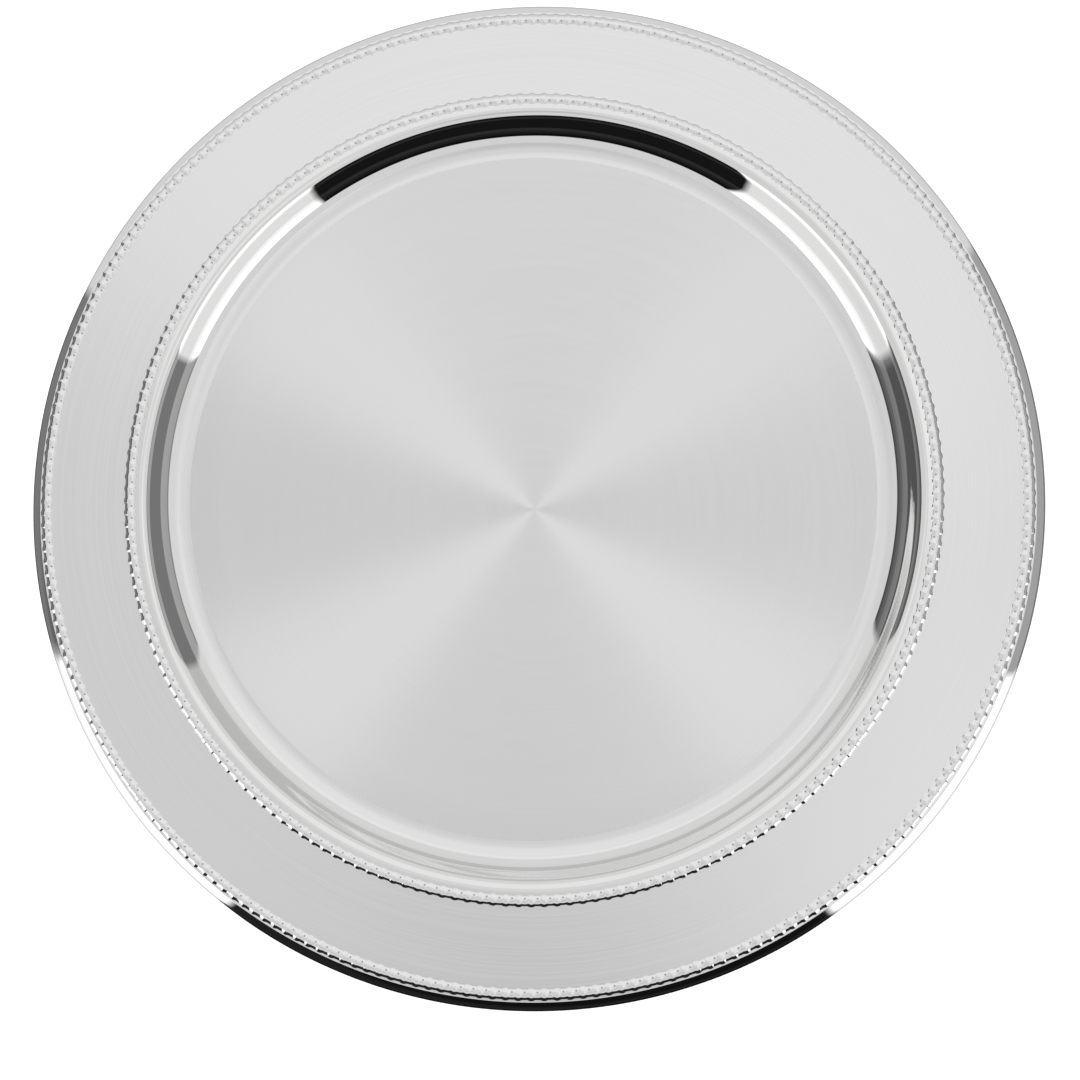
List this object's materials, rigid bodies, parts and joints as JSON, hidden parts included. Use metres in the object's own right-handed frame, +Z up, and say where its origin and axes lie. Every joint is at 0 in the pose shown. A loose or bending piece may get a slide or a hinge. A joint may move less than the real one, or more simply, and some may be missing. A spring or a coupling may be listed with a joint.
{
  "type": "salver",
  "caption": "Round silver salver with a satin well, mirror-polished cavetto, flat satin rim, two beaded borders and a rolled edge over a stiffening wire.",
  "frame": {"origin": "centre of the flat base, on the surface that the salver stands on", "axes": "+Z up along the salver's axis, out of the show face; X and Y are in the plane of the base"},
  "size_m": [0.33, 0.33, 0.0098],
  "materials": {
    "satin_silver": "circular satin",
    "polished_silver": "mirror polish",
    "core_wire": "drawn wire, unpolished"
  },
  "bodies": {
    "root": {"tray_body": "satin_silver", "inner_bead_border": "polished_silver", "outer_bead_border": "polished_silver", "edge_wire": "core_wire"}
  },
  "joints": []
}
